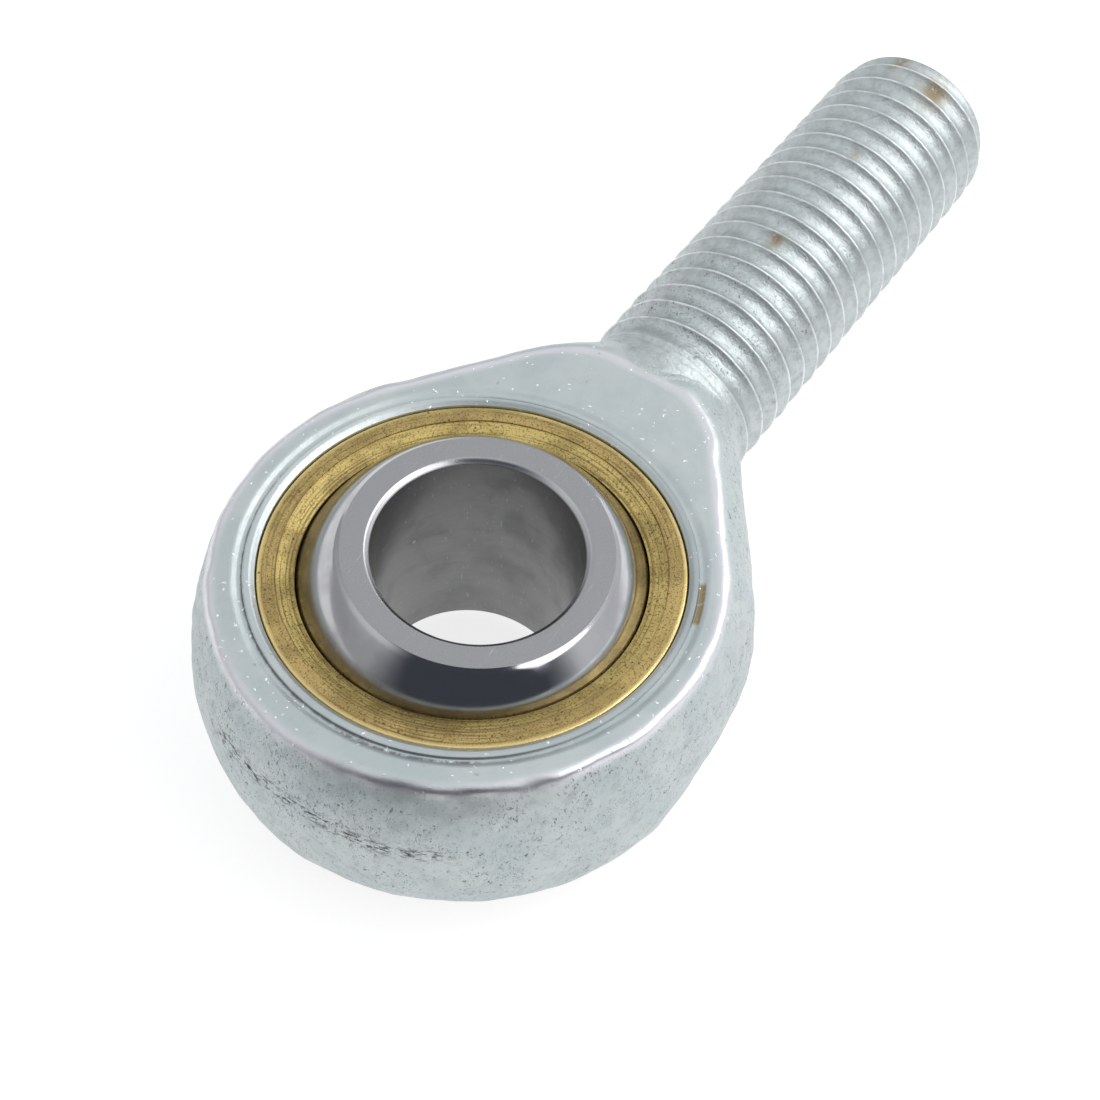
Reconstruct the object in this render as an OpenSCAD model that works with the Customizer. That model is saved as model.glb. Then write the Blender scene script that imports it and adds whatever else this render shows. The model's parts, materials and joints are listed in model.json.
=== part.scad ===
// Male rod end bearing: a forged head with a threaded shank, a brass race staked into the
// head, and a spherical ball that swivels in the race.
//
// Frame: origin at the centre of the ball, +Z square to the head, +X along the shank.

/* [Ball] */
// Bore for the pin or bolt
bore_d = 12; // [10:0.5:13]
// Diameter of the sphere the ball is cut from
ball_d = 22.225; // [22:0.025:22.5]
// Width of the ball over its two ground faces
ball_w = 16; // [14:0.5:17]
// Chamfer at each mouth of the bore
bore_chamfer = 0.3; // [0.1:0.05:0.5]

/* [Rest attitude] */
// How far the ball leans out of square when the bearing lies loose
ball_lean = 4.8; // [0:0.1:12]
// Direction of the axis the ball leans about, from the shank
lean_heading = -27; // [-180:1:180]

/* [Head] */
// Width of the head across the shank
head_d = 30.8; // [30:0.2:36]
// Thickness of the head over its two flat faces
head_w = 12; // [11:0.5:13]
// How far the side wall bulges past the edge of the flat face
head_bulge = 0.9; // [0.6:0.05:1.6]
// Extra length of the head away from the shank
head_nose = 1.5; // [0:0.1:2]

/* [Race] */
// Outside diameter of the brass race
race_d = 24.4; // [24:0.1:25]
// How far the race sits below each flat face of the head
race_recess = 0.42; // [0.1:0.02:0.5]
// Running gap between the ball and the race, on the radius
ball_gap = 0.04; // [0.02:0.01:0.08]

/* [Shank] */
// Major diameter of the thread
thread_d = 12; // [10:1:12]
// Distance from one thread crest to the next
thread_pitch = 1.75; // [1.25:0.25:1.75]
// Length of the thread
thread_length = 33; // [25:1:40]
// Distance from the centre of the ball to the tip of the shank
shank_reach = 54; // [50:1:65]

/* [Hidden] */
$fn = 96;

bore_r = bore_d / 2;
ball_r = ball_d / 2;
head_r = head_d / 2;
head_h = head_w / 2;
face_r = head_r - head_bulge;
nose_face = 0.45;

// Race: outside corner chamfer, the turned step in its face and the dish that falls to the ball
race_r = race_d / 2;
race_h = head_h - race_recess;
race_chamfer = 0.17;
step_r = race_r - 1.15;
step_drop = 0.1;
mouth_r = race_r - 2.2;
mouth_drop = 0.45;
seat_r = ball_r + ball_gap;

// Groove for grease round the middle of the seat, and the fill that leaves it clear all round
groove_w = 2.8;
groove_r = ball_r + 0.5;
grease_gap = 0.06;

// Staking: a ring pressed into each flat face folds a lip over the race
lip_grip = 0.06;
lip_r = race_r - lip_grip;
lip_h = race_h - race_chamfer + lip_grip;
lip_flare = 0.35;
stake_in_r = race_r + 0.6;
stake_w = 0.6;
stake_depth = 0.15;
stake_slope = 0.1;

// Thread: basic 60 degree form, cut as rings, on a blank of the pitch diameter
thread_r = thread_d / 2;
crest_w = thread_pitch / 8;
root_w = thread_pitch / 4;
flank_w = (thread_pitch - crest_w - root_w) / 2;
root_r = thread_r - flank_w * tan(60);
blank_r = thread_r - 0.3248 * thread_pitch;
thread_start = shank_reach - thread_length;
turns = floor(thread_length / thread_pitch);
tip_chamfer = thread_r - root_r;

// Neck: a cone whose flank stands at a set distance from the centre of the ball, led into the
// head's side wall by a shoulder that leaves the wall as a tangent
flank_normal = 54;
flank_offset = 16.45;
shoulder_x = 11;
neck_end_x = thread_start - 1.5;
shoulder_r = flank_radius(shoulder_x);
neck_end_r = flank_radius(neck_end_x);
neck_inset = 0.02;
tangent_r = head_r - neck_inset;
tangent_angle = atan2(shoulder_r, shoulder_x)
    + acos(tangent_r / sqrt(shoulder_x ^ 2 + shoulder_r ^ 2));
neck_x = tangent_r * cos(tangent_angle);
neck_r = tangent_r * sin(tangent_angle);
fillet_steps = 8;
shank_root_x = 14;
over = 1;

// Radius of the neck's flank at a distance x along the shank
function flank_radius(x) = (flank_offset - x * cos(flank_normal)) / sin(flank_normal);

// Point of a quarter ellipse that leaves the neck downwards and lands flat on the blank
function fillet_point(i) = [
    neck_end_x + (thread_start - neck_end_x) * (1 - cos(90 * i / fillet_steps)),
    neck_end_r - (neck_end_r - blank_r) * sin(90 * i / fillet_steps)
];

// One turn of the thread: root, rising flank, crest, falling flank
function ring_points(x) = [
    [x, root_r],
    [x + root_w, root_r],
    [x + root_w + flank_w, thread_r],
    [x + root_w + flank_w + crest_w, thread_r]
];

// Turns a profile drawn as (along the shank, radius) about the X axis
module turned_on_x(points) {
    rotate([0, 90, 0])
        rotate_extrude()
            polygon([for (p = points) [p.y, p.x]]);
}

// Solid disc whose side wall is an arc from one flat face to the other
module barrel(mid_r, edge_r) {
    rise = mid_r - edge_r;
    arc_r = (head_h ^ 2 + rise ^ 2) / (2 * rise);
    rotate_extrude()
        intersection() {
            translate([mid_r - arc_r, 0]) circle(r = arc_r, $fn = 256);
            translate([0, -head_h]) square([mid_r, head_w]);
        }
}

module neck() {
    intersection() {
        turned_on_x(concat(
            [[neck_x, 0], [neck_x, neck_r], [shoulder_x, shoulder_r]],
            [for (i = [0 : fillet_steps]) fillet_point(i)],
            [[thread_start, 0]]
        ));
        translate([0, -head_r, -head_h]) cube([shank_reach, head_d, head_w]);
    }
}

module shank() {
    intersection() {
        turned_on_x(concat(
            [[shank_root_x, 0], [shank_root_x, blank_r], [thread_start, blank_r]],
            [for (i = [0 : turns - 1]) each ring_points(thread_start + i * thread_pitch)],
            [[shank_reach, root_r], [shank_reach, 0]]
        ));
        turned_on_x([
            [0, 0],
            [0, thread_r + over],
            [shank_reach - tip_chamfer - over, thread_r + over],
            [shank_reach + over, root_r - over],
            [shank_reach + over, 0]
        ]);
    }
}

// Pocket the race fills, with the lip that holds it at each face
module race_pocket() {
    rotate_extrude()
        polygon([
            [0, -head_h - over],
            [lip_r + lip_flare, -head_h - over],
            [lip_r + lip_flare, -head_h],
            [lip_r, -lip_h],
            [race_r, -race_h + race_chamfer],
            [race_r, race_h - race_chamfer],
            [lip_r, lip_h],
            [lip_r + lip_flare, head_h],
            [lip_r + lip_flare, head_h + over],
            [0, head_h + over]
        ]);
}

module stake_ring(side) {
    rotate_extrude()
        polygon([
            [stake_in_r + stake_slope, side * (head_h - stake_depth)],
            [stake_in_r + stake_w - stake_slope, side * (head_h - stake_depth)],
            [stake_in_r + stake_w, side * head_h],
            [stake_in_r + stake_w, side * (head_h + over)],
            [stake_in_r, side * (head_h + over)],
            [stake_in_r, side * head_h]
        ]);
}

module rod_end_body() {
    color("lightsteelblue")
        difference() {
            union() {
                barrel(head_r, face_r);
                translate([-head_nose, 0, 0]) barrel(head_r, face_r - head_nose + nose_face);
                neck();
                shank();
            }
            race_pocket();
            for (side = [-1, 1]) stake_ring(side);
        }
}

module race() {
    color("goldenrod")
        difference() {
            rotate_extrude()
                polygon([
                    [0, -race_h + mouth_drop],
                    [mouth_r, -race_h + mouth_drop],
                    [step_r, -race_h + step_drop],
                    [step_r, -race_h],
                    [race_r - race_chamfer, -race_h],
                    [race_r, -race_h + race_chamfer],
                    [race_r, race_h - race_chamfer],
                    [race_r - race_chamfer, race_h],
                    [step_r, race_h],
                    [step_r, race_h - step_drop],
                    [mouth_r, race_h - mouth_drop],
                    [0, race_h - mouth_drop]
                ]);
            cylinder(r = mouth_r, h = head_w, center = true);
            sphere(r = seat_r);
            cylinder(r = groove_r, h = groove_w, center = true);
        }
}

module grease() {
    fill_w = groove_w - 2 * grease_gap;
    color("saddlebrown")
        difference() {
            cylinder(r = groove_r - grease_gap, h = fill_w, center = true);
            cylinder(r = ball_r + grease_gap, h = groove_w, center = true);
        }
}

module ball() {
    mouth_h = ball_w / 2;
    color("gainsboro")
        rotate(a = ball_lean, v = [cos(lean_heading), sin(lean_heading), 0])
            difference() {
                intersection() {
                    sphere(r = ball_r);
                    cylinder(r = ball_r + over, h = ball_w, center = true);
                }
                cylinder(r = bore_r, h = ball_w + over, center = true);
                for (side = [0, 180])
                    rotate([side, 0, 0])
                        translate([0, 0, mouth_h - bore_chamfer])
                            cylinder(
                                r1 = bore_r,
                                r2 = bore_r + bore_chamfer + over,
                                h = bore_chamfer + over
                            );
            }
}

rod_end_body();
race();
grease();
ball();
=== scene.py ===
"""Looks of the male rod end bearing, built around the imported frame.

Lengths inside the shape functions are millimetres; MM turns them into the frame's metres.
Headings are angles about +Z, counted from the shank.
"""

import json
import math

import bpy
import numpy as np
from mathutils import Matrix, Vector


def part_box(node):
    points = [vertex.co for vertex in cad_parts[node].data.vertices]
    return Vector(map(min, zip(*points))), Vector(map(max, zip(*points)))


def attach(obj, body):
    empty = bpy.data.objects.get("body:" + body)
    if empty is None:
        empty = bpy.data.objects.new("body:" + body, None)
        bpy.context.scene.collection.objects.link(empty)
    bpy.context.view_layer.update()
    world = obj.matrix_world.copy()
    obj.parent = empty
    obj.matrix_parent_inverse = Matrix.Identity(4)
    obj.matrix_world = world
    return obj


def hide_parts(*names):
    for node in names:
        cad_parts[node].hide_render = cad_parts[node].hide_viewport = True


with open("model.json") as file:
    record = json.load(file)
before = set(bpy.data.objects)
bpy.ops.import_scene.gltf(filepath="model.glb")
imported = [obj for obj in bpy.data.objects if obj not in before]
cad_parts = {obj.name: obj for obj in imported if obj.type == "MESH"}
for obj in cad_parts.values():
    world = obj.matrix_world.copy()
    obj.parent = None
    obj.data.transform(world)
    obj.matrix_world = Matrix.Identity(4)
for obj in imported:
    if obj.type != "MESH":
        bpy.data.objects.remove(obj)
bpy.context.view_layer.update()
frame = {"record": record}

MM = 0.001
TAU = 2 * math.pi

# ---------------------------------------------------------------- sizes, from the frame
MOUNTS = {m["name"]: m for m in frame["record"]["mounts"]}
BODY_LOW, BODY_HIGH = (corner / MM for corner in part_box("rod_end_body"))
RACE_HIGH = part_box("race")[1] / MM
BALL_LOW, BALL_HIGH = (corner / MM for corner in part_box("ball"))

NOSE_R = -BODY_LOW.x
HEAD_H = BODY_HIGH.z
TIP_X = BODY_HIGH.x
RACE_R = RACE_HIGH.x
RACE_H = RACE_HIGH.z
BORE_R = MOUNTS["bore"]["dims"]["r_mm"]
BALL_AXIS = Vector(MOUNTS["bore"]["axis"]).normalized()
BALL_TURN = Vector((0, 0, 1)).rotation_difference(BALL_AXIS)
BALL_H = Vector(MOUNTS["ball_face_upper"]["pos_m"]).dot(BALL_AXIS) / MM
BALL_R = (BALL_HIGH.x - BALL_LOW.x) / 2
THREAD_R = MOUNTS["thread"]["dims"]["r_mm"]

# ---------------------------------------------------------------- sizes, in millimetres
# Thread: HELIX_X is where a root passes the +Y side. It runs out on a blank with fine ridges.
PITCH = 1.75
THREAD_DEPTH = 0.45
THREAD_START = 19.9
HELIX_X = 21.28
RUNOUT = 2.6
CREST_R = THREAD_R - 0.05
CREST_HALF = 0.045
BLANK_R = 5.84
NECK_RIDGES = ((19.55, 0.035), (20.15, 0.05), (20.65, 0.035))
RIDGE_HALF = 0.08
TIP_CHAMFER = 0.7
TIP_LEAD = 0.2
TIP_LEAD_LENGTH = 2.6
THREAD_STEPS = (
    0.0, 0.05, 0.1, 0.15, 0.2, 0.25, 0.29, 0.33, 0.37, 0.41, 0.445, 0.474,
    0.5, 0.526, 0.555, 0.59, 0.63, 0.67, 0.71, 0.75, 0.8, 0.85, 0.9, 0.95,
)

# Head: the lip over the race, the staked groove round it and the forged outline
LIP_R = RACE_R - 0.03
LIP_TOP_R = RACE_R + 0.28
STAKE_IN = RACE_R + 0.6
STAKE_OUT = RACE_R + 1.21
STAKE_END = STAKE_OUT + 0.06
STAKE_DEPTH = 0.19
STAKE_SHIFT = 0.15
FORGING_OFFSET = (0.33, 0.09)
FACE_SIDE_R = 14.47
FACE_NOSE_R = 15.25
FLANK_ANGLE = math.radians(53.9)
FLANK_FACE = 14.27
FLANK_MID = 16.28
WALL_SIDE_R = 15.2
WALL_NOSE_R = NOSE_R + 0.2
NECK_FACE_X = 17.96
NECK_SOFT = 3.0
NECK_REACH = 24.5
BULGE_POWER = 2.2
CORNER_R = 0.4
FACE_ZONE = 5.0  # above and below this height lie the head's two faces

# Ripples of the surfaces: (height, wavelength, seed)
WALL_RIPPLES = ((0.07, 6.0, 11), (0.022, 1.6, 12), (0.008, 0.6, 13))
EDGE_RIPPLE = (0.06, 2.6, 14)
FACE_RIPPLE = (0.008, 5.0, 15)
STAKE_RIPPLE = (0.016, 2.2, 16)
THREAD_RIPPLES = ((0.016, 2.4, 21), (0.007, 0.8, 22))
RACE_RIPPLE = (0.012, 3.0, 31)

# Brown spots on the thread: (place, size)
RUST_SPOTS = (
    ((32.7, -0.62, 5.7), 0.45), ((42.8, -0.8, 5.7), 0.3), ((51.8, -2.0, 5.2), 0.95),
    ((53.1, 1.5, 5.3), 0.6), ((49.2, 3.0, -5.0), 0.6), ((38.0, 2.0, -5.5), 0.3),
)

# Race and ball
STEP_R = RACE_R - 1.15
MOUTH_R = RACE_R - 2.2
MOUTH_Z = RACE_H - 0.45
SEAT_GAP = 0.025
GREASE_GROOVE = (BALL_R + 0.5, 1.4)
BORE_CHAMFER = 0.3

# ---------------------------------------------------------------- colours
PLATE_COOL, PLATE_PALE = (0.50, 0.555, 0.565), (0.56, 0.60, 0.60)
PLATE_SMUDGE = (0.38, 0.41, 0.41)
SHANK_PALE, SHANK_GREY = (0.56, 0.605, 0.61), (0.49, 0.525, 0.53)
# Painted highlights: the first colour lightens the edge of the flat faces, and the second makes
# thread crests and sparkle specks near-white.
PLATE_EDGE_HIGHLIGHT, PLATE_GLINT = (0.78, 0.765, 0.81), (0.90, 0.92, 0.93)
DIRT, PIT = (0.14, 0.15, 0.145), (0.085, 0.08, 0.075)
# Painted shade: the first colour darkens the creases of the staking groove.
CREASE_SHADE, RUST = (0.12, 0.115, 0.11), (0.26, 0.185, 0.065)

BRASS, BRASS_DULL = (0.54, 0.395, 0.155), (0.41, 0.30, 0.12)
DISH, DISH_DULL = (0.70, 0.55, 0.20), (0.47, 0.36, 0.135)
BRASS_MARK, BRASS_GRAIN, BRASS_SPOT = (0.20, 0.14, 0.06), (0.14, 0.10, 0.05), (0.12, 0.085, 0.045)
# Painted highlight: the first colour lightens the polished outer rim of the race.
BRASS_RIM_HIGHLIGHT, BRASS_PIT = (0.85, 0.66, 0.30), (0.08, 0.055, 0.03)

# The last colour is the oil film on the ball next to the race, with painted shade and a painted
# brass reflection.
SPHERE, SPHERE_SMEAR, OIL_AND_BRASS_REFLECTION = (0.50, 0.50, 0.51), (0.44, 0.44, 0.46), (0.25, 0.215, 0.165)
GROUND, GROUND_DARK = (0.36, 0.36, 0.375), (0.30, 0.30, 0.31)
# Painted shade: these bore colours are dark to stand for the shade inside the bore.
BORE_SHADE, BORE_SHADE_SMEAR, BORE_SHADE_HONED = (0.225, 0.225, 0.222), (0.19, 0.193, 0.193), (0.15, 0.15, 0.15)
BEVEL, SCRATCH = (0.5, 0.5, 0.52), (0.62, 0.62, 0.63)

GREASE, GREASE_DARK, GREASE_FLECK = (0.16, 0.09, 0.03), (0.07, 0.04, 0.015), (0.02, 0.015, 0.01)
FLOOR, FLOOR_PALE = (0.30, 0.30, 0.30), (0.33, 0.33, 0.33)
CARD, CARD_PALE = (0.05, 0.05, 0.055), (0.09, 0.085, 0.085)
ROOM_LOW, ROOM_HIGH = (0.50, 0.505, 0.515), (0.90, 0.925, 0.94)
ROOM_RIGHT, ROOM_DARK = (0.82, 0.83, 0.85), (0.070, 0.078, 0.095)


# ---------------------------------------------------------------- number helpers
def ramp(low, high, x):
    """Smooth step: 0 below low, 1 above high."""
    t = np.clip((x - low) / (high - low), 0, 1)
    return t * t * (3 - 2 * t)


def window(rise_from, rise_to, fall_from, fall_to, x):
    """Smooth step up to 1 and back down to 0."""
    return ramp(rise_from, rise_to, x) * (1 - ramp(fall_from, fall_to, x))


def bell(x, centre, width):
    """Bell curve of height 1."""
    return np.exp(-((x - centre) / width) ** 2)


def soft_min(a, b, k):
    """The smaller of a and b, rounded off where they are within k of each other."""
    h = np.clip(0.5 + 0.5 * (b - a) / k, 0, 1)
    return b + (a - b) * h - k * h * (1 - h)


def ripple(points, wavelength, seed, waves=28):
    """Smooth seeded noise, about -1 to 1, from plane waves in random directions."""
    rng = np.random.default_rng(seed)
    way = rng.normal(size=(waves, 3))
    way /= np.linalg.norm(way, axis=1, keepdims=True)
    k = TAU / (wavelength * rng.uniform(0.7, 1.5, waves))
    phase = rng.uniform(0, TAU, waves)
    total = np.zeros(len(points))
    for w, kk, ph in zip(way, k, phase):
        total += np.sin((points @ w) * kk + ph)
    return total / math.sqrt(waves)


def ripples(points, *layers):
    """Sum of ripples given as (height, wavelength, seed)."""
    return sum(height * ripple(points, wavelength, seed) for height, wavelength, seed in layers)


def from_shank(angle):
    """Angle away from the shank to either side, 0 to pi."""
    return np.abs((angle + math.pi) % TAU - math.pi)


def arc_patch(angle, start, end, soft=4):
    """1 between two headings in degrees, counted up from start to end, fading over soft degrees."""
    past = (np.degrees(angle) - start + soft) % 360 - soft
    return ramp(-soft, 0, past) * (1 - ramp(end - start, end - start + soft, past))


# ---------------------------------------------------------------- mesh helpers
def grid_faces(rows, cols, close_rows):
    """Quads of a grid of vertices, rows x cols, whose columns always close up."""
    r = np.arange(rows if close_rows else rows - 1)
    c = np.arange(cols)
    r0, c0 = np.meshgrid(r, c, indexing="ij")
    r1, c1 = (r0 + 1) % rows, (c0 + 1) % cols
    quads = [r0 * cols + c0, r1 * cols + c0, r1 * cols + c1, r0 * cols + c1]
    return np.stack(quads, -1).reshape(-1, 4)


def headings(segments):
    """Equally spaced angles all the way round, in radians."""
    return np.arange(segments) * TAU / segments


def new_object(name, points, faces):
    mesh = bpy.data.meshes.new(name)
    mesh.from_pydata((np.asarray(points) * MM).tolist(), [], [list(map(int, f)) for f in faces])
    mesh.validate()
    obj = bpy.data.objects.new(name, mesh)
    bpy.context.scene.collection.objects.link(obj)
    return obj


def turned(name, profile, segments):
    """Closed ring about Z from a profile of (radius, height): up inside, out, down, back in."""
    profile = np.array(profile)
    angle = headings(segments)
    x = profile[:, :1] * np.cos(angle)
    y = profile[:, :1] * np.sin(angle)
    z = np.repeat(profile[:, 1:], segments, 1)
    points = np.stack([x, y, z], -1).reshape(-1, 3)
    return new_object(name, points, grid_faces(len(profile), segments, True))


def combine(base, other, operation):
    """Boolean of two closed meshes, kept in base; other is removed."""
    cut = base.modifiers.new(operation, "BOOLEAN")
    cut.operation = operation
    cut.solver = "MANIFOLD"
    cut.object = other
    graph = bpy.context.evaluated_depsgraph_get()
    mesh = bpy.data.meshes.new_from_object(base.evaluated_get(graph))
    base.modifiers.clear()
    base.data = mesh
    bpy.data.objects.remove(other)
    return base


def arc(centre, radius, start, end, steps):
    """Points of a circular arc, angles in degrees."""
    turn = np.radians(np.linspace(start, end, steps))
    return [(centre[0] + radius * math.cos(t), centre[1] + radius * math.sin(t)) for t in turn]


def line(start, end, steps):
    """Points from start to end, without the end."""
    t = np.linspace(0, 1, steps, endpoint=False)[:, None]
    return [tuple(p) for p in np.array(start) * (1 - t) + np.array(end) * t]


def lines(*runs):
    """Points of several runs of (start, end, steps), one after another."""
    return [point for run in runs for point in line(*run)]


def mirrored(profile):
    """The lower half of a profile whose upper half is given, in going-round order."""
    return [(r, -z) for r, z in profile[::-1]]


def coordinates(obj):
    """A mesh's points in millimetres."""
    co = np.zeros(len(obj.data.vertices) * 3, np.float32)
    obj.data.vertices.foreach_get("co", co)
    return co.reshape(-1, 3).astype(float) / MM


def set_coordinates(obj, points):
    obj.data.vertices.foreach_set("co", (points * MM).astype(np.float32).ravel())
    obj.data.update()


def add_masks(obj, **masks):
    """Stores numbers per vertex for a material to read by name."""
    for name, values in masks.items():
        layer = obj.data.attributes.new(name, "FLOAT", "POINT")
        layer.data.foreach_set("value", np.asarray(values, np.float32))


def finish_piece(obj, body, node, material, sharp_angle):
    obj.data.shade_smooth()
    obj.data.set_sharp_from_angle(angle=math.radians(sharp_angle))
    obj.data.materials.clear()
    obj.data.materials.append(material)
    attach(obj, body)
    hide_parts(node)


# ---------------------------------------------------------------- head outline
def face_outline(angle):
    """Distance from the bore's axis to the theoretical edge of the flat face."""
    a = from_shank(angle)
    flank = FLANK_FACE / np.cos(np.minimum(a - FLANK_ANGLE, 0))
    near = NECK_FACE_X / np.maximum(np.cos(a), 0.2)
    neck = soft_min(flank, near, NECK_SOFT)
    free = FACE_SIDE_R + (FACE_NOSE_R - FACE_SIDE_R) * ramp(1.0, math.pi, a)
    settle = free + (FLANK_FACE - free) * (1 - ramp(0.9, 1.5, a))
    return np.where(a < FLANK_ANGLE, neck, settle)


def middle_outline(angle):
    """Distance from the bore's axis to the side wall at half thickness."""
    a = from_shank(angle)
    flank = FLANK_MID / np.cos(np.minimum(a - FLANK_ANGLE, 0))
    free = WALL_SIDE_R + (WALL_NOSE_R - WALL_SIDE_R) * np.maximum(0, -np.cos(a)) ** 1.5
    settle = free + (FLANK_MID - free) * (1 - ramp(FLANK_ANGLE, 1.65, a))
    return np.where(a < FLANK_ANGLE, np.minimum(flank, NECK_REACH), settle)


def wall_outline(angle, z):
    bulge = 1 - (np.abs(z) / HEAD_H) ** BULGE_POWER
    edge = face_outline(angle)
    return edge + (middle_outline(angle) - edge) * bulge


def groove_profile():
    """(radius, height) of the lip over the race and of the staked groove, from the pocket out."""
    floor = HEAD_H - STAKE_DEPTH
    lip = lines(
        ((LIP_R, RACE_H - 0.12), (LIP_R + 0.015, RACE_H - 0.02), 3),
        ((LIP_R + 0.03, RACE_H + 0.06), (LIP_TOP_R - 0.06, HEAD_H - 0.18), 4),
        ((LIP_TOP_R, HEAD_H - 0.12), (STAKE_IN - 0.06, HEAD_H - 0.05), 5),
    )
    groove = lines(
        ((STAKE_IN - 0.02, HEAD_H - 0.06), (STAKE_IN + 0.03, floor + 0.02), 3),
        ((STAKE_IN + 0.06, floor), (STAKE_IN + 0.22, floor), 4),
        ((STAKE_IN + 0.27, floor + 0.01), (STAKE_OUT - 0.02, HEAD_H - 0.012), 7),
    )
    return lip + groove + [(STAKE_END, HEAD_H)]


def head_rows(angle, face_steps=15, corner_steps=8, wall_steps=27):
    """Rows of (radius, height) of the upper half of the head, from the pocket outwards."""
    one = np.ones_like(angle)
    pocket = [(RACE_R, 0), (RACE_R, RACE_H - 0.2)]
    rows = [(r * one, z * one) for r, z in pocket + groove_profile()]
    shift = FORGING_OFFSET[0] * np.cos(angle) + FORGING_OFFSET[1] * np.sin(angle)
    flat_end = face_outline(angle) + shift - CORNER_R
    for t in np.linspace(0, 1, face_steps)[1:]:
        rows.append((STAKE_END + (flat_end - STAKE_END) * t, HEAD_H * one))
    for t in np.linspace(math.pi / 2, 0, corner_steps)[1:]:
        z = HEAD_H - CORNER_R * (1 - math.sin(t))
        rows.append((wall_outline(angle, z) + shift - CORNER_R * (1 - math.cos(t)), z * one))
    for z in np.linspace(HEAD_H - CORNER_R, 0, wall_steps)[1:]:
        rows.append((wall_outline(angle, z) + shift, z * one))
    return rows


def head_mesh(segments=640):
    angle = headings(segments)
    upper = head_rows(angle)
    rows = upper + mirrored(upper[1:-1])
    points = np.stack([
        np.stack([r * np.cos(angle), r * np.sin(angle), z], -1) for r, z in rows
    ]).reshape(-1, 3)
    points = forge(points)
    return new_object("rod_end_body_forging", points, grid_faces(len(rows), segments, True))


def forge(points):
    """Uneven side wall and edge, faint hollows in the faces, and an uneven off-centre groove."""
    x, y, z = points.T
    r, angle = np.hypot(x, y), np.arctan2(y, x)
    on_face = np.abs(z) > FACE_ZONE
    wall = ramp(0, 0.9, HEAD_H - np.abs(z)) * (r > STAKE_OUT)
    edge = ramp(-1.6, 0, r - face_outline(angle)) * (1 - wall)
    ring = window(STAKE_IN - 0.3, STAKE_IN - 0.05, STAKE_OUT + 0.1, STAKE_OUT + 0.5, r)
    stake = (r > STAKE_IN + 0.03) * (r < STAKE_OUT - 0.03)
    grow = ripples(points, *WALL_RIPPLES) * wall + ripples(points, EDGE_RIPPLE) * edge
    dip = ripples(points, FACE_RIPPLE) * (r > STAKE_OUT) * (1 - wall)
    dip += ripples(points, STAKE_RIPPLE) * stake
    out = points.copy()
    out[:, 0] += np.cos(angle) * grow - STAKE_SHIFT * ring * on_face
    out[:, 1] += np.sin(angle) * grow
    out[:, 2] += np.sign(z) * np.minimum(dip, 0.0) * on_face
    return out


# ---------------------------------------------------------------- thread
def thread_height(u):
    """Height of the thread over one pitch, 0 at its broad hollow root and 1 at its narrow crest."""
    away = np.abs(u - 0.5) * PITCH
    fall = np.clip((away - CREST_HALF) / (PITCH / 2 - CREST_HALF), 0, 1)
    return (1 - fall) ** 2.4 - 0.03 * np.clip(away / CREST_HALF, 0, 1)


def thread_radius(along, phases):
    """Radius of the spiral strip: run-out, crests and roots, lead-in at the tip, neck ridges."""
    height = thread_height(phases % 1.0)[:, None]
    formed = ramp(0, RUNOUT, along - THREAD_START)
    crest = BLANK_R + (CREST_R - BLANK_R) * formed
    crest = crest - TIP_LEAD * ramp(TIP_X - TIP_LEAD_LENGTH, TIP_X, along)
    radius = crest - THREAD_DEPTH * formed * (1 - height)
    for place, rise in NECK_RIDGES:
        radius = radius + rise * bell(along, place, RIDGE_HALF)
    return radius


def thread_mesh(segments=160, turns_before=4, turns_past=3):
    """A right-hand thread as one spiral strip, so that its crest is a clean unbroken edge."""
    last = int((TIP_X - HELIX_X) / PITCH) + turns_past
    phases = np.array([turn + u for turn in range(-turns_before, last) for u in THREAD_STEPS])
    angle = headings(segments)
    along = HELIX_X + PITCH * (phases[:, None] + angle[None, :] / TAU)
    radius = thread_radius(along, phases)
    around = np.broadcast_to(angle, radius.shape)
    points = np.stack([along, radius * np.cos(around), radius * np.sin(around)], -1)
    points = points.reshape(-1, 3)
    radial = points * np.array([0, 1, 1])
    radial /= np.linalg.norm(radial, axis=1, keepdims=True)
    points += radial * ripples(points, *THREAD_RIPPLES)[:, None]
    faces, loops = spiral_faces(len(phases), segments, len(THREAD_STEPS))
    points = np.vstack([points, [[along[0, 0], 0, 0]], [[along[-1, -1], 0, 0]]])
    caps = spiral_caps(loops, len(points) - 2)
    return new_object("thread", points, [*faces.tolist(), *caps])


def spiral_faces(rows, cols, per_turn):
    """Quads of a strip whose row k, after a full turn, carries on as row k + per_turn."""
    k, j = np.meshgrid(np.arange(rows - 1), np.arange(cols), indexing="ij")

    def vertex(row, col):
        over = col == cols
        return (row + np.where(over, per_turn, 0)) * cols + np.where(over, 0, col)

    usable = (j < cols - 1) | (k + 1 + per_turn < rows)
    k, j = k[usable], j[usable]
    quads = np.stack([vertex(k, j), vertex(k, j + 1), vertex(k + 1, j + 1), vertex(k + 1, j)], -1)
    start = [*range(cols)] + [row * cols for row in range(per_turn, 0, -1)]
    end = [(rows - 1) * cols + col for col in range(cols)]
    end += [row * cols + cols - 1 for row in range(rows - 2, rows - 2 - per_turn, -1)]
    return quads, (start, end)


def spiral_caps(loops, centre):
    """Fans that close the strip's two ends, whose centre points are centre and centre + 1."""
    caps = []
    for side, loop in enumerate(loops):
        for a, b in zip(loop, loop[1:] + loop[:1]):
            caps.append([centre + side, b, a] if side == 0 else [centre + side, a, b])
    return caps


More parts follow.
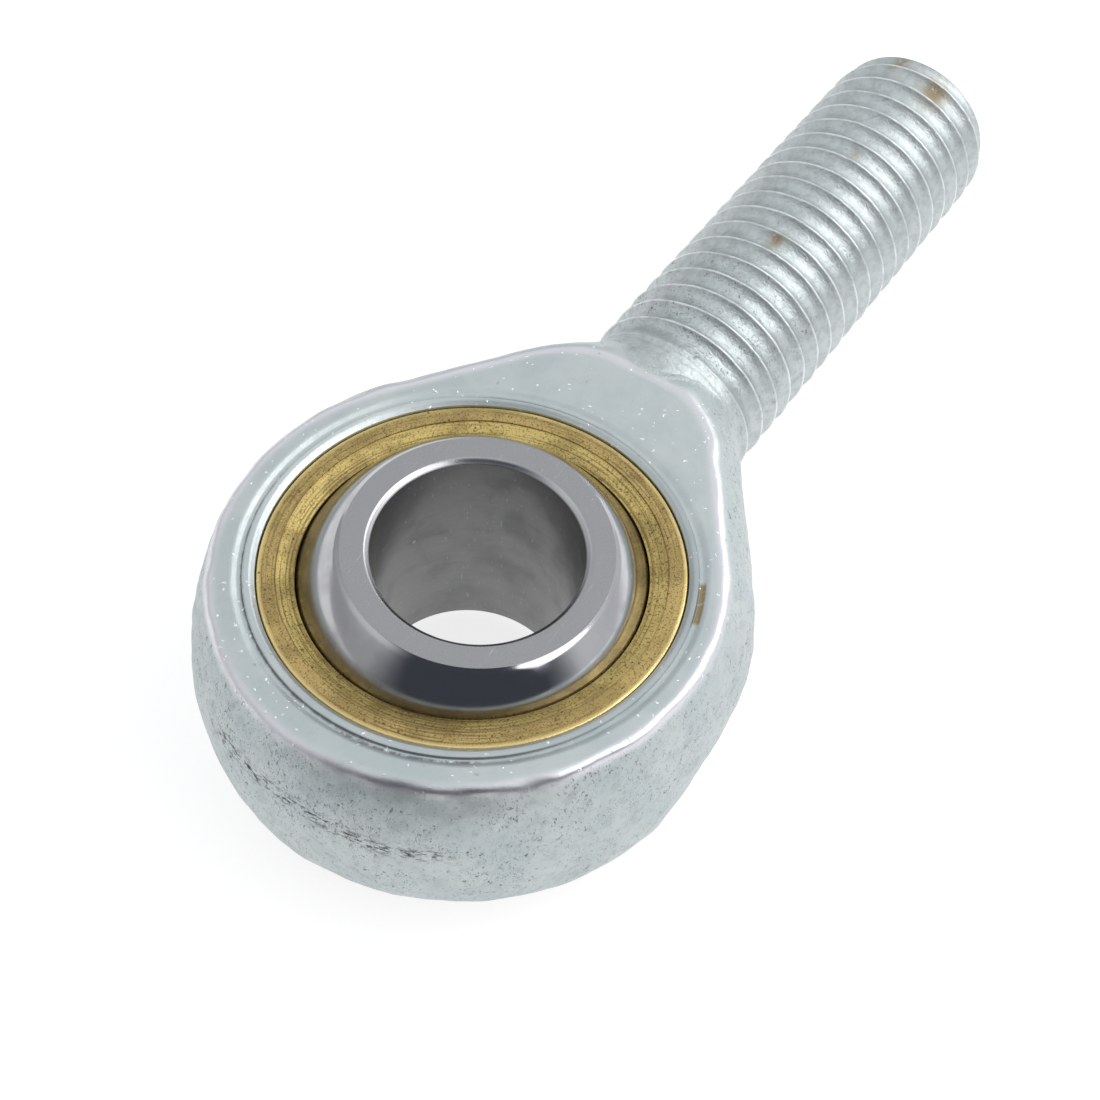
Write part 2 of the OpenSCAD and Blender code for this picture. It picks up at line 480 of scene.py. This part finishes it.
def envelope_outline(start, core_r=0.4, clear=0.3, round_r=0.2):
    """(along, radius) of the shape the thread is cut to: plain, rounded chamfer, flat tip."""
    tip_r = THREAD_R - TIP_CHAMFER
    outer_r, chamfer_x = THREAD_R + clear, TIP_X - TIP_CHAMFER - clear
    outline = lines(
        ((start, core_r), (start, outer_r), 3),
        ((start, outer_r), (chamfer_x, outer_r), 12),
        ((chamfer_x, outer_r), (TIP_X - 0.06, tip_r + 0.06), 7),
    )
    outline += arc((TIP_X - round_r, tip_r - 0.08), round_r, 45, 0, 5)
    return np.array(outline + line((TIP_X, tip_r - 0.1), (TIP_X, core_r), 8))


def shank_envelope(start=10.0, segments=128):
    """Closed solid about X that gives the thread its two ends."""
    outline = envelope_outline(start)
    angle = headings(segments)
    x = np.repeat(outline[:, :1], segments, 1)
    y = outline[:, 1:] * np.cos(angle)
    z = outline[:, 1:] * np.sin(angle)
    ring = np.stack([x, y, z], -1).reshape(-1, 3)
    faces = grid_faces(len(outline), segments, False)[:, ::-1]
    centre, last = len(ring), len(ring) - segments
    following = [(i + 1) % segments for i in range(segments)]
    caps = [[k, i, centre] for i, k in enumerate(following)]
    caps += [[last + i, last + k, centre + 1] for i, k in enumerate(following)]
    points = np.vstack([ring, [[start, 0, 0], [TIP_X, 0, 0]]])
    return new_object("shank_envelope", points, [*faces.tolist(), *caps])


# ---------------------------------------------------------------- forged body
def body_piece():
    body = combine(head_mesh(), combine(thread_mesh(), shank_envelope(), "INTERSECT"), "UNION")
    body.name = "forged_body"
    body.data.name = "forged_body"
    body_masks(body)
    return body


def body_masks(obj):
    """Where the plated steel is forged wall, edge, shank or thread crest, marked or stained, and
    where the staking groove's creases get painted shade.
    """
    points = coordinates(obj)
    x, y, z = points.T
    r, ring_r, shank_r = np.hypot(x, y), np.hypot(x + STAKE_SHIFT, y), np.hypot(y, z)
    angle = np.arctan2(y, x)
    upper, faces = z > FACE_ZONE, np.abs(z) > FACE_ZONE
    shank = ramp(17.7, 18.3, x) * (1 - ramp(6.0, 6.12, shank_r))
    wall = ramp(0.1, 0.8, HEAD_H - np.abs(z)) * (1 - shank) * (r > STAKE_OUT)
    # Band along the face edge, where the plate gets a painted highlight.
    edge = bell(r, face_outline(angle) - 0.2, 0.3) * ramp(FACE_ZONE, 5.6, np.abs(z))
    phase = (x - HELIX_X) / PITCH - np.arctan2(z, y) / TAU
    height = thread_height(phase % 1.0) * ramp(20.2, 21.4, x)
    height *= (x < TIP_X - 0.03) * (shank_r > 5.3)
    # Painted shade: thin bands on the inner and outer creases of the staking groove.
    crease = bell(ring_r, STAKE_IN + 0.01, 0.035) + 0.7 * bell(ring_r, STAKE_OUT, 0.03)
    add_masks(
        obj,
        wall=wall,
        shank=shank,
        edge=edge * (1 - shank),
        crest=ramp(0.84, 0.96, height) * shank,
        neck=shank * (1 - ramp(20.4, 22.4, x)),
        grime=shank * window(20.2, 21.5, 26, 34, x) * ramp(-2, 3, z),
        scuff=scuff_band(angle, z) * wall,
        residue=groove_residue(angle, ring_r) * upper,
        crease=crease * faces,
        stain=stains(points, angle, ring_r),
    )


def scuff_band(angle, z):
    """A rubbed band just above the parting line, round the nose of the head."""
    heading = np.degrees(angle % TAU)
    centre = 2.3 - 0.75 * ramp(180, 205, heading)
    return bell(z, centre, 0.42) * window(150, 160, 206, 214, heading)


def groove_residue(angle, r):
    """Dark plating residue left in parts of the upper staking groove, mostly at its inner edge."""
    past = r - STAKE_IN
    middle = window(0.1, 0.2, 0.3, 0.4, past)
    inner = window(-0.06, 0.0, 0.06, 0.16, past)
    near = arc_patch(angle, -176, -146) + 0.3 * arc_patch(angle, -146, -128, 10)
    far = 0.35 * arc_patch(angle, -4, 44) + 0.6 * arc_patch(angle, 94, 190)
    return np.clip(near * middle + far * inner, 0, 1)


def stains(points, angle, ring_r):
    """Brown residue in the upper staking groove beside the shank, and spots on the thread."""
    strip = window(0.02, 0.1, 0.36, 0.46, ring_r - STAKE_IN) * (points[:, 2] > FACE_ZONE)
    total = arc_patch(angle, -73, -62, 1.5) * strip
    for centre, size in RUST_SPOTS:
        away = np.linalg.norm((points - centre) * (0.7, 1.0, 1.0), axis=1)
        total += bell(away, 0, size)
    return np.clip(total, 0, 1)


# ---------------------------------------------------------------- race, grease and ball
def race_profile():
    """(radius, height) of half the race: outer corner, face, turned step, dish, seat, groove."""
    seat_r = BALL_R + SEAT_GAP
    seat_top = math.degrees(math.asin(math.sqrt(seat_r ** 2 - MOUTH_R ** 2) / seat_r))
    seat_low = math.degrees(math.asin(GREASE_GROOVE[1] / seat_r))
    top = line((RACE_R - 0.01, RACE_H - 0.26), (RACE_R - 0.1, RACE_H - 0.12), 3)
    top += arc((RACE_R - 0.2, RACE_H - 0.14), 0.12, 20, 85, 5)
    top += line((RACE_R - 0.24, RACE_H - 0.012), (STEP_R + 0.06, RACE_H), 6)
    top += arc((STEP_R + 0.05, RACE_H - 0.05), 0.05, 90, 180, 4)
    top += line((STEP_R, RACE_H - 0.09), (STEP_R - 0.06, RACE_H - 0.13), 2)
    top += line((STEP_R - 0.1, RACE_H - 0.12), (MOUTH_R + 0.08, MOUTH_Z + 0.03), 9)
    top += arc((MOUTH_R + 0.03, MOUTH_Z - 0.03), 0.03, 75, 180, 3)
    top += arc((0, 0), seat_r, seat_top, seat_low, 12)
    return top + [GREASE_GROOVE]


def race_piece():
    top = race_profile()
    outer = line((RACE_R - 0.01, -RACE_H + 0.26), (RACE_R - 0.01, RACE_H - 0.26), 8)[1:]
    outline = mirrored(top) + outer + top
    race = turned("brass_race", outline[::-1], 320)
    points = coordinates(race)
    r = np.hypot(points[:, 0], points[:, 1])
    face = window(MOUTH_R + 0.1, MOUTH_R + 0.3, RACE_R - 0.25, RACE_R - 0.15, r)
    face *= ramp(4.4, 5.0, np.abs(points[:, 2]))
    rings = 0.010 * np.sin(r * TAU / 0.31) + 0.006 * np.sin(r * TAU / 0.17 + 1)
    points[:, 2] += np.sign(points[:, 2]) * (rings + ripples(points, RACE_RIPPLE)) * face
    set_coordinates(race, points)
    add_masks(
        race,
        rim=window(RACE_R - 0.3, RACE_R - 0.2, RACE_R - 0.08, RACE_R - 0.02, r),
        dish=1 - ramp(STEP_R - 0.12, STEP_R, r),
    )
    return race


def grease_piece():
    """The grease left in the race's groove: a soft-edged, slightly uneven ring."""
    low, high = BALL_R + 0.07, BALL_R + 0.42
    half, corner = 1.26, 0.15
    outline = line((low, -half + 0.2), (low, half - 0.2), 6)
    outline += arc((low + corner, half - corner), corner, 180, 90, 4)
    outline += arc((high - corner, half - corner), corner, 90, 0, 4)
    outline += line((high, half - 0.2), (high, -half + 0.2), 6)
    outline += arc((high - corner, -half + corner), corner, 0, -90, 4)
    outline += arc((low + corner, -half + corner), corner, -90, -180, 4)
    grease = turned("grease_ring", outline, 192)
    points = coordinates(grease)
    points[:, 2] *= 1 - 0.02 * (1 + ripple(points, 4.0, 41).clip(-1, 1))
    set_coordinates(grease, points)
    return grease


def ball_profile():
    """(radius, height) of the ball's upper half from the bore's mouth to just above its waist."""
    face_r = math.sqrt(BALL_R ** 2 - BALL_H ** 2)
    face_rise = math.degrees(math.asin(BALL_H / BALL_R))
    mouth, bevel_r = BALL_H - BORE_CHAMFER, BORE_R + BORE_CHAMFER
    top = [(BORE_R + 0.01, mouth + 0.02)]
    top += lines(
        ((BORE_R + 0.04, mouth + 0.06), (bevel_r - 0.05, BALL_H - 0.06), 3),
        ((bevel_r - 0.01, BALL_H - 0.015), (bevel_r + 0.03, BALL_H), 2),
        ((bevel_r + 0.04, BALL_H), (face_r - 0.09, BALL_H), 6),
    )
    top += [(face_r - 0.05, BALL_H - 0.004), (face_r - 0.01, BALL_H - 0.03)]
    top += [(face_r + 0.03, BALL_H - 0.07)]
    return top + arc((0, 0), BALL_R, face_rise - 1.0, 0.0, 36)[:-1]


def ball_piece():
    top = ball_profile()
    mouth, bevel_r = BALL_H - BORE_CHAMFER, BORE_R + BORE_CHAMFER
    bore = line((BORE_R, -mouth), (BORE_R, mouth), 14)[1:]
    ball = turned("steel_ball", bore + top + [(BALL_R, 0)] + mirrored(top), 384)
    points = coordinates(ball)
    r, height = np.hypot(points[:, 0], points[:, 1]), np.abs(points[:, 2])
    add_masks(
        ball,
        flat=(height > BALL_H - 0.01) * (r > bevel_r),
        bore=1 - ramp(BORE_R + 0.02, BORE_R + 0.12, r),
        bevel=(r > BORE_R + 0.02) * (r < bevel_r + 0.02),
        # Band next to the race: oil film, with painted shade and brass reflection.
        oiled=(1 - ramp(5.7, 6.7, height)) * (r > BORE_R + 1),
    )
    turn = np.array(BALL_TURN.to_matrix())
    set_coordinates(ball, points @ turn.T)
    return ball


# ---------------------------------------------------------------- node helpers
class Nodes:
    """The node tree of a material or world, with short names for the nodes used here."""

    def __init__(self, owner):
        owner.use_nodes = True
        self.tree = owner.node_tree

    def add(self, kind, inputs=None, **settings):
        node = self.tree.nodes.new(kind)
        for key, value in settings.items():
            setattr(node, key, value)
        for key, value in (inputs or {}).items():
            self.plug(node.inputs[key], value)
        return node

    def plug(self, socket, value):
        if isinstance(value, bpy.types.NodeSocket):
            self.tree.links.new(value, socket)
        else:
            socket.default_value = value

    def math(self, operation, a, b=0.0, clamp=False):
        node = self.add("ShaderNodeMath", {0: a, 1: b}, operation=operation, use_clamp=clamp)
        return node.outputs[0]

    def fold(self, operation, values):
        total = values[0]
        for value in values[1:]:
            total = self.math(operation, total, value)
        return total

    def times(self, *factors):
        return self.fold("MULTIPLY", factors)

    def plus(self, *terms):
        return self.fold("ADD", terms)

    def most(self, *values):
        return self.fold("MAXIMUM", values)

    def vector(self, operation, a, b=(0, 0, 0), scale=1.0):
        node = self.add("ShaderNodeVectorMath", {0: a, 1: b}, operation=operation)
        node.inputs[3].default_value = scale
        return node.outputs[0]

    def dot(self, a, b):
        node = self.add("ShaderNodeVectorMath", {0: a, 1: b}, operation="DOT_PRODUCT")
        return node.outputs["Value"]

    def band(self, value, low, high, start=0.0, end=1.0):
        """Rises smoothly from start to end as value goes from low to high."""
        inputs = {"Value": value, "From Min": low, "From Max": high, "To Min": start, "To Max": end}
        node = self.add("ShaderNodeMapRange", inputs, interpolation_type="SMOOTHSTEP")
        return node.outputs["Result"]

    def mix(self, factor, a, b):
        node = self.add("ShaderNodeMix", data_type="RGBA")
        self.plug(node.inputs[0], factor)
        for index, colour in ((6, a), (7, b)):
            if not isinstance(colour, bpy.types.NodeSocket):
                colour = (*colour, 1.0)
            self.plug(node.inputs[index], colour)
        return node.outputs[2]

    def layered(self, colour, *layers):
        """A colour with layers of (amount, colour) laid over it in turn."""
        for amount, paint in layers:
            colour = self.mix(amount, colour, paint)
        return colour


class Shader(Nodes):
    """One material's node tree, with coordinates in millimetres of the part's own frame."""

    def __init__(self, name):
        self.material = bpy.data.materials.new(name)
        super().__init__(self.material)
        self.surface = self.tree.nodes["Principled BSDF"]
        place = self.add("ShaderNodeTexCoord").outputs["Object"]
        self.mm = self.vector("SCALE", place, scale=1 / MM)

    def attribute(self, name):
        return self.add("ShaderNodeAttribute", attribute_name=name).outputs["Fac"]

    def noise(self, place, scale, detail=2.0, rough=0.5, twist=0.0):
        inputs = {"Vector": place, "Scale": scale, "Detail": detail, "Roughness": rough}
        inputs["Distortion"] = twist
        return self.add("ShaderNodeTexNoise", inputs).outputs["Fac"]

    def pits(self, place, scale, size, keep):
        """Small round pits: cells of a lattice, of which a random share holds a pit."""
        cell = self.add("ShaderNodeTexVoronoi", {"Vector": place, "Scale": scale})
        near = self.band(cell.outputs["Distance"], size, size * 0.45)
        chance = self.add("ShaderNodeSeparateColor", {0: cell.outputs["Color"]}).outputs[0]
        return self.times(near, self.math("LESS_THAN", chance, keep))

    def stretched(self, factors):
        return self.vector("MULTIPLY", self.mm, factors)

    def jittered(self, scale, amount):
        """Coordinates shaken by up to amount mm, so that lattice cells lose their regular shape."""
        noise = self.add("ShaderNodeTexNoise", {"Vector": self.mm, "Scale": scale})
        shake = self.vector("SCALE", noise.outputs["Color"], scale=amount)
        return self.vector("ADD", self.mm, shake)

    def rings(self, spread, turns):
        """Coordinates that run round the Z axis, for lathe marks."""
        x, y, z = self.add("ShaderNodeSeparateXYZ", {0: self.mm}).outputs
        radius = self.math("SQRT", self.plus(self.times(x, x), self.times(y, y)))
        across = {0: self.times(radius, spread), 2: self.times(z, spread)}
        section = self.add("ShaderNodeCombineXYZ", across).outputs[0]
        side = self.vector("SCALE", self.vector("NORMALIZE", self.mm), scale=turns)
        return self.vector("ADD", section, side)

    def close(self, colour, rough, metal, height, depth):
        """Wires up the surface; depth is the height map's relief in millimetres."""
        relief = {"Height": height, "Distance": depth * MM, "Strength": 1.0}
        bump = self.add("ShaderNodeBump", relief)
        self.plug(self.surface.inputs["Base Color"], colour)
        self.plug(self.surface.inputs["Roughness"], rough)
        self.plug(self.surface.inputs["Metallic"], metal)
        self.plug(self.surface.inputs["Normal"], bump.outputs[0])
        return self.material


# ---------------------------------------------------------------- zinc plate
def plate_colour(s, wall, shank, edge, mottle):
    """Cool and pale clouds, smudges, a greyer shank and a painted highlight along the face edges.
    """
    cloud = s.noise(s.mm, 0.28, 3)
    smudge = s.times(s.band(mottle, 0.48, 0.66), s.plus(0.10, s.times(wall, 0.2)))
    return s.layered(
        s.mix(s.band(cloud, 0.35, 0.65), PLATE_COOL, PLATE_PALE),
        (smudge, PLATE_SMUDGE),
        (shank, s.mix(s.band(mottle, 0.4, 0.65), SHANK_PALE, SHANK_GREY)),
        # Painted highlight along the face edge.
        (s.times(edge, 0.8), PLATE_EDGE_HIGHLIGHT),
    )


def plate_dirt(s, wall, shank, tick):
    """Fine dark ticks and flecks, thick on the forged wall and where the thread starts."""
    fleck = s.noise(s.mm, 9.0, 2, 0.6)
    patch = s.band(s.noise(s.mm, 0.45, 3, 0.6), 0.38, 0.6, 0.35, 1.0)
    dirt = s.most(s.band(tick, 0.57, 0.67), s.times(s.band(fleck, 0.60, 0.70), 0.5))
    grime = s.times(s.attribute("grime"), 0.8)
    where = s.plus(0.04, s.times(wall, 0.85), s.times(shank, 0.2), grime)
    return s.times(dirt, patch, where)


def plate_marks(s, wall):
    """Pits, the rubbed band round the nose and the residue in the staking groove."""
    jitter = s.jittered(2.0, 0.9)
    large = s.times(s.pits(jitter, 0.9, 0.14, 0.25), s.plus(0.25, s.times(wall, 0.3)))
    small = s.times(s.pits(jitter, 2.4, 0.2, 0.3), s.plus(0.08, s.times(wall, 0.5)))
    streak = s.noise(s.stretched((1.6, 1.6, 5.0)), 1.0, 5, 0.75)
    scuff = s.times(s.attribute("scuff"), s.band(streak, 0.5, 0.6))
    broken = s.band(s.noise(s.mm, 1.6, 4, 0.75), 0.42, 0.56)
    residue = s.times(s.attribute("residue"), broken, 0.7)
    return s.most(large, small, scuff, residue)


def zinc_plate():
    """Blue-white zinc plate over a forging: satin, pitted on the forged wall, stained in places,
    with painted highlights on edges, crests and specks and painted shade in the groove's creases.
    """
    s = Shader("zinc_plated_steel")
    wall, shank, edge = s.attribute("wall"), s.attribute("shank"), s.attribute("edge")
    mottle = s.noise(s.mm, 1.5, 4, 0.6)
    grain = s.noise(s.mm, 24.0, 2)
    tick = s.noise(s.stretched((2.6, 2.6, 1.5)), 2.2, 3, 0.65, 1.2)
    dirt, mark = plate_dirt(s, wall, shank, tick), plate_marks(s, wall)
    stain = s.times(s.attribute("stain"), s.band(s.noise(s.mm, 2.2, 4, 0.7), 0.30, 0.48))
    flat = s.math("SUBTRACT", 1.0, s.most(wall, shank))
    # Painted highlight: sparse sparkle specks on the flat faces, made near-white.
    spark = s.times(s.pits(s.jittered(3.0, 0.5), 2.6, 0.27, 0.22), flat)
    # Patches where the thread crests get a painted highlight.
    crest_glint_patches = s.band(s.noise(s.mm, 0.8, 3, 0.6), 0.36, 0.6, 0.3, 0.85)
    colour = s.layered(
        plate_colour(s, wall, shank, edge, mottle),
        (dirt, DIRT),
        (mark, PIT),
        (s.times(stain, 0.9), RUST),
        # Painted shade in the staking groove's creases.
        (s.times(s.attribute("crease"), 0.55), CREASE_SHADE),
        # Painted highlight on the thread crests and the sparkle specks.
        (s.most(s.times(s.attribute("crest"), crest_glint_patches), spark), PLATE_GLINT),
    )
    rough = s.plus(
        0.31, s.times(mottle, 0.14), s.times(grain, 0.08), s.times(mark, 0.3), s.times(wall, 0.10),
        s.times(stain, 0.25), s.times(edge, -0.10), s.times(shank, -0.08), s.times(spark, -0.16),
    )
    metal = s.math("SUBTRACT", 1.0, s.plus(s.times(mark, 0.5), s.times(stain, 0.6)), clamp=True)
    crinkle = s.times(s.noise(s.stretched((4.0, 2.5, 2.5)), 1.4, 4, 0.7), shank)
    turning = s.times(s.noise(s.stretched((7.0, 0.25, 0.25)), 1.0, 3, 0.6), s.attribute("neck"))
    relief = s.plus(
        s.times(mottle, 0.35), s.times(tick, 0.30), s.times(grain, 0.16), s.times(mark, -0.9),
        s.times(turning, 1.2), s.times(crinkle, 2.3), s.times(dirt, -0.5), s.times(spark, 0.5),
    )
    return s.close(colour, rough, metal, relief, 0.030)


# ---------------------------------------------------------------- other materials
def turned_brass():
    """Lathe-turned brass: concentric marks, tarnish in patches, dark pits, and a bright outer rim
    that is a painted highlight.
    """
    s = Shader("turned_brass")
    turned_marks = s.noise(s.rings(9.0, 1.5), 1.0, 4, 0.65)
    tarnish = s.noise(s.mm, 0.45, 3, 0.6)
    grain = s.noise(s.mm, 9.0, 3, 0.6)
    rim, dish = s.attribute("rim"), s.attribute("dish")
    spotted = s.times(s.pits(s.jittered(3.0, 0.5), 3.2, 0.3, 0.3), 0.8)
    pit = s.times(s.pits(s.mm, 1.5, 0.16, 0.3), 0.8)
    colour = s.layered(
        s.mix(s.band(tarnish, 0.40, 0.60), BRASS, BRASS_DULL),
        (s.times(dish, 0.7), s.mix(s.band(tarnish, 0.44, 0.66), DISH, DISH_DULL)),
        (s.times(s.band(turned_marks, 0.5, 0.62), 0.75), BRASS_MARK),
        (s.times(s.band(grain, 0.53, 0.62), 0.75), BRASS_GRAIN),
        (spotted, BRASS_SPOT),
        # Painted highlight on the race's polished outer rim.
        (s.times(rim, 0.8), BRASS_RIM_HIGHLIGHT),
        (pit, BRASS_PIT),
    )
    dull = s.times(s.band(tarnish, 0.4, 0.6), 0.12)
    rough = s.plus(0.27, s.times(turned_marks, 0.2), dull, s.times(rim, -0.12))
    relief = s.plus(
        s.times(turned_marks, 0.9), s.times(grain, 0.7), s.times(pit, -0.7), s.times(spotted, -0.3)
    )
    metal = s.math("SUBTRACT", 1.0, s.times(pit, 0.5))
    return s.close(colour, rough, metal, relief, 0.026)


def bearing_steel():
    """Polished sphere with satin ground faces, a bright bevel, a lightly scored bore painted dark
    as shade, and a brown band next to the race of oil film, painted shade and brass reflection.
    """
    s = Shader("bearing_steel")
    turn = s.add("ShaderNodeMapping", {"Vector": s.mm}, vector_type="TEXTURE")
    turn.inputs["Rotation"].default_value = BALL_TURN.to_euler()
    s.mm = turn.outputs[0]
    flat, bore, bevel = s.attribute("flat"), s.attribute("bore"), s.attribute("bevel")
    smear = s.noise(s.mm, 0.35, 3, 0.6)
    hone = s.noise(s.rings(7.0, 2.0), 1.0, 4, 0.7)
    scratch = s.noise(s.stretched((0.5, 5.0, 0.8)), 1.6, 4, 0.8, 0.6)
    fine = s.noise(s.mm, 16.0, 3)
    film = s.band(s.noise(s.mm, 0.9, 3, 0.6), 0.25, 0.55, 0.6, 1.0)
    # Oil film next to the race, darkened and browned as painted shade and brass reflection.
    oiled = s.times(s.attribute("oiled"), film)
    # Painted shade: the bore is coloured dark for the shade inside it, with darker honed lines.
    inside = s.mix(s.band(smear, 0.30, 0.70), BORE_SHADE, BORE_SHADE_SMEAR)
    inside = s.mix(s.times(s.band(hone, 0.45, 0.65), 0.18), inside, BORE_SHADE_HONED)
    scored = s.plus(s.times(flat, 0.5), s.times(bore, 0.4), 0.08)
    scored = s.times(s.band(scratch, 0.62, 0.7), scored)
    colour = s.layered(
        s.mix(s.band(smear, 0.4, 0.62), SPHERE, SPHERE_SMEAR),
        (s.times(oiled, 0.75), OIL_AND_BRASS_REFLECTION),
        (flat, s.mix(s.band(fine, 0.4, 0.7), GROUND, GROUND_DARK)),
        (bore, inside),
        (s.times(bevel, 0.6), BEVEL),
        (scored, SCRATCH),
    )
    rough = s.plus(
        0.10, s.times(s.band(smear, 0.45, 0.65), 0.07), s.times(oiled, 0.16),
        s.times(flat, 0.22), s.times(bore, 0.22), s.times(bevel, 0.14),
        s.times(hone, s.plus(s.times(bore, 0.04), s.times(flat, 0.06))),
    )
    relief = s.plus(
        s.times(hone, s.plus(s.times(bore, 0.05), s.times(flat, 0.25), 0.02)),
        s.times(scored, -0.2),
        s.times(fine, s.plus(s.times(s.plus(flat, bore), 0.12), 0.01)),
    )
    return s.close(colour, rough, 1.0, relief, 0.012)


def brown_grease():
    """Old bearing grease: smooth, stirred in darker swirls, with fine dark flecks."""
    s = Shader("brown_grease")
    stir = s.noise(s.mm, 0.8, 4, 0.6, 1.0)
    flecks = s.noise(s.mm, 6.0, 2)
    colour = s.layered(
        s.mix(s.band(stir, 0.35, 0.65), GREASE, GREASE_DARK),
        (s.times(s.band(flecks, 0.6, 0.75), 0.4), GREASE_FLECK),
    )
    s.surface.inputs["Subsurface Weight"].default_value = 0.1
    s.surface.inputs["Subsurface Scale"].default_value = 0.3 * MM
    rough, relief = s.plus(0.22, s.times(stir, 0.2)), s.plus(stir, s.times(flecks, 0.3))
    return s.close(colour, rough, 0.0, relief, 0.05)


def pale_floor():
    """Plain pale floor that gives off a little light of its own, as a light table does."""
    s = Shader("pale_floor")
    tone = s.noise(s.mm, 0.02, 2)
    s.surface.inputs["Emission Color"].default_value = (1, 1, 1, 1)
    s.surface.inputs["Emission Strength"].default_value = 0.78
    return s.close(s.mix(tone, FLOOR, FLOOR_PALE), 0.7, 0.0, tone, 0.01)


def dark_card():
    s = Shader("dark_card")
    weave = s.noise(s.mm, 0.5, 2)
    return s.close(s.mix(weave, CARD, CARD_PALE), 0.9, 0.0, weave, 0.1)


# ---------------------------------------------------------------- camera, floor and light
# The camera looks along its own axis past the frame's origin, which lies CAMERA_RIGHT and
# CAMERA_UP (mm) to the left of and below that axis. Azimuth 0 looks from -Y.
CAMERA_AZIMUTH = math.radians(-57.61)
CAMERA_ELEVATION = math.radians(51.68)
CAMERA_ROLL = math.radians(2.08)
CAMERA_DISTANCE = 127.89
CAMERA_RIGHT = 4.475
CAMERA_UP = 4.426
CAMERA_LENS = 71.96

FLOOR_REACH = 3500
FLOOR_GAP = 0.02

CARD_DISTANCE = 105
CARD_HEADINGS = (-196, -108)
CARD_TOP = 7.0

LIGHT_DISTANCE = 260


def camera_axes():
    """Right, up and back of the camera."""
    a, e = CAMERA_AZIMUTH, CAMERA_ELEVATION
    back = Vector((math.sin(a) * math.cos(e), -math.cos(a) * math.cos(e), math.sin(e)))
    right = Vector((0, 0, 1)).cross(back).normalized()
    up = back.cross(right)
    c, s = math.cos(CAMERA_ROLL), math.sin(CAMERA_ROLL)
    return right * c + up * s, up * c - right * s, back


def add_camera():
    right, up, back = camera_axes()
    data = bpy.data.cameras.new("camera")
    data.lens = CAMERA_LENS
    data.sensor_width = 36
    data.clip_start = 0.001
    camera = bpy.data.objects.new("camera", data)
    place = (back * CAMERA_DISTANCE + right * CAMERA_RIGHT + up * CAMERA_UP) * MM
    turn = Matrix((right, up, back)).transposed().to_4x4()
    camera.matrix_world = Matrix.Translation(place) @ turn
    bpy.context.scene.collection.objects.link(camera)
    bpy.context.scene.camera = camera


def add_floor():
    """A floor under the ball's lower face, which the tip of the shank also touches."""
    corners = [(-1, -1), (1, -1), (1, 1), (-1, 1)]
    level = -BALL_H - FLOOR_GAP
    points = [BALL_TURN @ Vector((x * FLOOR_REACH, y * FLOOR_REACH, level)) for x, y in corners]
    floor = new_object("floor", [tuple(p) for p in points], [(0, 1, 2, 3)])
    floor.data.materials.append(pale_floor())


def add_card():
    """A low dark card that hides the far floor from the ball, seen only in reflections."""
    angle = np.radians(np.linspace(*CARD_HEADINGS, 23))
    ends = (-BALL_H + 0.5, CARD_TOP)
    points = [
        (CARD_DISTANCE * math.cos(a), CARD_DISTANCE * math.sin(a), z) for a in angle for z in ends
    ]
    faces = [(2 * i, 2 * i + 2, 2 * i + 3, 2 * i + 1) for i in range(len(angle) - 1)]
    card = new_object("flag", points, faces)
    card.data.materials.append(dark_card())
    card.visible_camera = False


def add_softbox(name, heading, elevation, size, radiance):
    """A rectangular area light that faces the ball from a heading and elevation in degrees."""
    a, e = math.radians(heading), math.radians(elevation)
    way = Vector((math.cos(a) * math.cos(e), math.sin(a) * math.cos(e), math.sin(e)))
    data = bpy.data.lights.new(name, "AREA")
    data.shape = "RECTANGLE"
    data.size, data.size_y = size[0] * MM, size[1] * MM
    data.energy = radiance * math.pi * data.size * data.size_y
    light = bpy.data.objects.new(name, data)
    turn = way.to_track_quat("Z", "Y").to_matrix().to_4x4()
    light.matrix_world = Matrix.Translation(way * LIGHT_DISTANCE * MM) @ turn
    bpy.context.scene.collection.objects.link(light)


class Room(Nodes):
    """The studio round the part, as a world shader that depends on direction only."""

    def __init__(self):
        world = bpy.data.worlds.new("studio")
        bpy.context.scene.world = world
        super().__init__(world)
        self.way = self.add("ShaderNodeTexCoord").outputs["Generated"]
        self.level = self.vector("NORMALIZE", self.vector("MULTIPLY", self.way, (1, 1, 0)))

    def toward(self, heading, near, far):
        """1 within near degrees of a heading, 0 beyond far degrees from it."""
        a = math.radians(heading)
        dot = self.dot(self.level, (math.cos(a), math.sin(a), 0))
        return self.band(dot, math.cos(math.radians(far)), math.cos(math.radians(near)))

    def above(self, low, high, start=0.0, end=1.0):
        """Goes from start to end between two elevations in degrees."""
        dot = self.dot(self.way, (0, 0, 1))
        return self.band(dot, math.sin(math.radians(low)), math.sin(math.radians(high)), start, end)

    def close(self, colour):
        self.plug(self.tree.nodes["Background"].inputs["Color"], colour)


def add_room():
    """A pale room: brightest overhead and on the right, dark where the camera stands."""
    room = Room()
    right = room.times(room.toward(-50, 15, 75), room.above(45, 70, 1.0, 0.0))
    behind = room.times(room.toward(-143, 40, 66), room.above(44, 60, 1.0, 0.0))
    colour = room.mix(room.above(8, 42), ROOM_LOW, ROOM_HIGH)
    room.close(room.layered(colour, (right, ROOM_RIGHT), (behind, ROOM_DARK)))


def main():
    finish_piece(body_piece(), "housing", "rod_end_body", zinc_plate(), 38)
    finish_piece(race_piece(), "housing", "race", turned_brass(), 38)
    finish_piece(grease_piece(), "grease_film", "grease", brown_grease(), 50)
    finish_piece(ball_piece(), "ball", "ball", bearing_steel(), 30)
    add_floor()
    add_card()
    add_softbox("key", -66, 41, (400, 140), 2.4)
    add_softbox("fill", -6, 26, (150, 80), 1.6)
    add_room()
    add_camera()
    bpy.context.scene.view_settings.view_transform = "Standard"


main()
